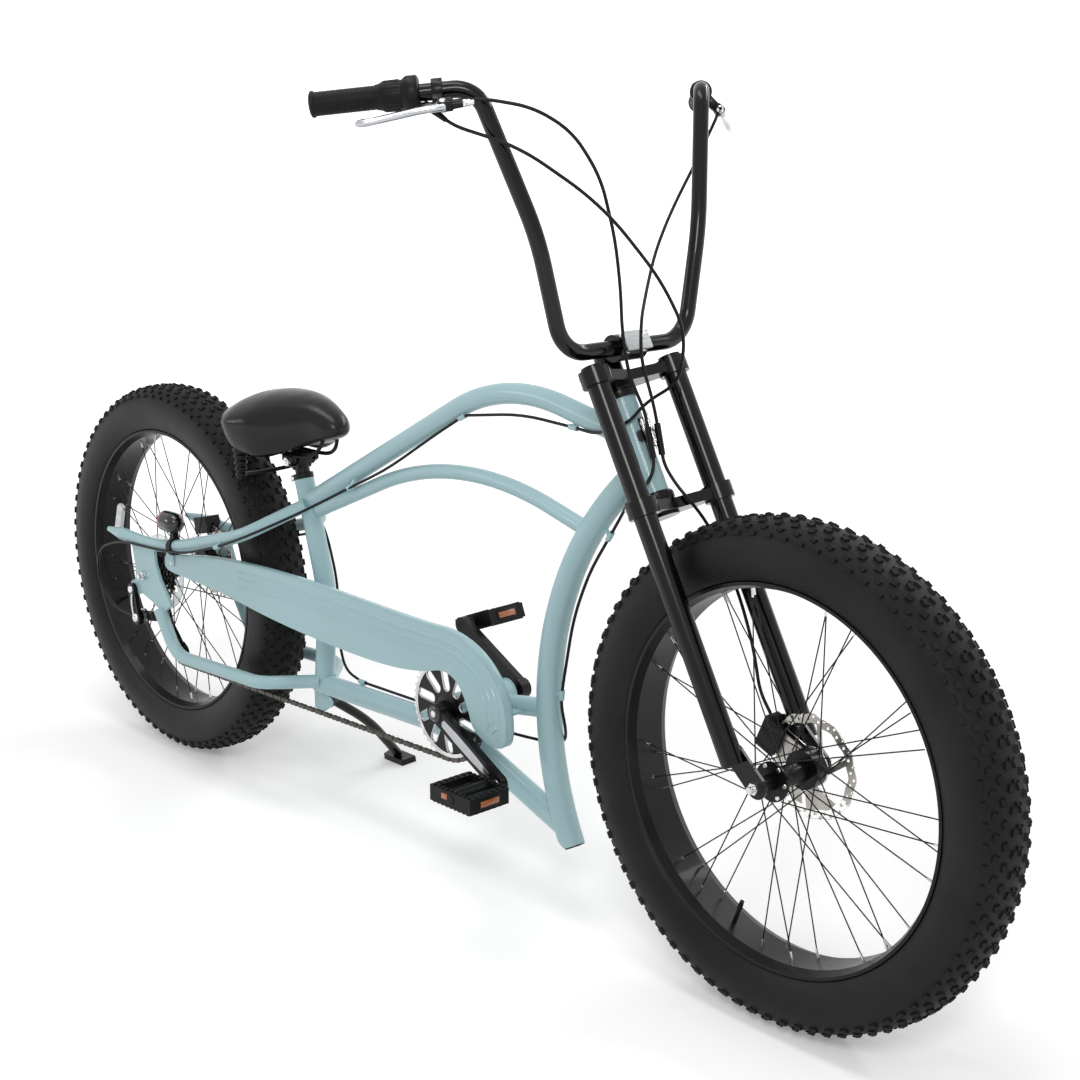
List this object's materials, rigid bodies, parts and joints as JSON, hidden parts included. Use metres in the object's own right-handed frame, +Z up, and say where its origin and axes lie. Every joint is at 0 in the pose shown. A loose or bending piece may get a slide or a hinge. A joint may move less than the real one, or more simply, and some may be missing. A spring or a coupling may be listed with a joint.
{
  "type": "chopper bicycle",
  "caption": "Long, low bicycle with fat tyres, a raked double-clamp fork, a tall handlebar, curved frame tubes, disc brakes and a side stand.",
  "frame": {"origin": "on the floor, below the middle of the whole bicycle's box, leaning on its side stand", "axes": "+X forwards, +Y to the bicycle's left, +Z up; the bicycle leans 8 degrees to its left"},
  "size_m": [2.311, 0.8001, 1.3558],
  "materials": {
    "frame_paint": "satin pale blue-grey paint",
    "black_paint": "gloss black",
    "black_plastic": "moulded",
    "rubber": "matt",
    "tyre": "matt black rubber",
    "rim_paint": "satin black",
    "spoke_steel": "black",
    "steel": "bright",
    "dark_steel": "oiled",
    "aluminium": "polished",
    "saddle_cover": "smooth black",
    "clear": "clear reflector"
  },
  "bodies": {
    "frame": {"head_tube": "frame_paint", "headset_cups": "black_paint", "top_tube": "frame_paint", "mid_tube": "frame_paint", "down_tube": "frame_paint", "bottom_tube": "frame_paint", "cross_tube": "frame_paint", "seat_tube": "frame_paint", "bottom_bracket": "frame_paint", "seat_stay_right": "frame_paint", "seat_stay_left": "frame_paint", "chain_stay_right": "frame_paint", "chain_stay_left": "frame_paint", "dropouts": "frame_paint", "chain_guard": "frame_paint", "guard_brackets": "frame_paint", "stand_bracket": "frame_paint", "rear_axle": "steel", "seat_post": "steel", "saddle_frame": "black_paint", "saddle": "saddle_cover", "cassette": "dark_steel", "chain": "dark_steel", "rear_derailleur": "black_paint", "rear_caliper": "black_paint", "rear_lamp": "black_plastic", "cable_guides": "frame_paint", "frame_cables": "rubber"},
    "rear_wheel": {"rear_tyre": "tyre", "rear_rim": "rim_paint", "rear_spokes": "spoke_steel", "rear_hub": "rim_paint", "rear_rotor": "steel"},
    "steering": {"steerer": "black_paint", "fork_clamps": "black_paint", "fork_leg_right": "black_paint", "fork_leg_left": "black_paint", "front_axle": "steel", "stem": "black_paint", "handlebar": "black_paint", "grips": "rubber", "brake_levers": "aluminium", "twist_shifter": "black_plastic", "front_caliper": "black_paint", "front_reflector": "clear", "front_brake_cable": "rubber", "bar_cables": "rubber"},
    "front_wheel": {"front_tyre": "tyre", "front_rim": "rim_paint", "front_spokes": "spoke_steel", "front_hub": "rim_paint", "front_rotor": "steel"},
    "crankset": {"chainring": "dark_steel", "crank_right": "black_paint", "crank_left": "black_paint", "crank_spindle": "steel"},
    "right_pedal": {"pedal_right": "black_plastic"},
    "left_pedal": {"pedal_left": "black_plastic"},
    "side_stand": {"kickstand": "black_paint"}
  },
  "joints": [
    {"name": "rear_wheel_spin", "type": "hinge", "parent": "frame", "child": "rear_wheel", "pos_m": [-0.78253, -0.12744, 0.37084], "axis": [0, 0.9903, -0.1392], "continuous": true},
    {"name": "steer", "type": "hinge", "parent": "frame", "child": "steering", "pos_m": [0.51547, -0.07748, 0.72635], "axis": [-0.4772, 0.1223, 0.8703], "range_deg": [-60, 60], "deforming": ["bar_cables"]},
    {"name": "front_wheel_spin", "type": "hinge", "parent": "steering", "child": "front_wheel", "pos_m": [0.78253, -0.12744, 0.37084], "axis": [0, 0.9903, -0.1392], "continuous": true},
    {"name": "crank_spin", "type": "hinge", "parent": "frame", "child": "crankset", "pos_m": [0.12247, -0.1351, 0.31638], "axis": [0, 0.9903, -0.1392], "continuous": true},
    {"name": "right_pedal_spin", "type": "hinge", "parent": "crankset", "child": "right_pedal", "pos_m": [0.27257, -0.2997, 0.25892], "axis": [0, 0.9903, -0.1392], "continuous": true},
    {"name": "left_pedal_spin", "type": "hinge", "parent": "crankset", "child": "left_pedal", "pos_m": [-0.02763, 0.0295, 0.37384], "axis": [0, 0.9903, -0.1392], "continuous": true},
    {"name": "side_stand_fold", "type": "hinge", "parent": "frame", "child": "side_stand", "pos_m": [-0.34253, -0.11841, 0.19084], "axis": [-0.36, 0.9326, -0.025], "range_deg": [0, 90]}
  ]
}
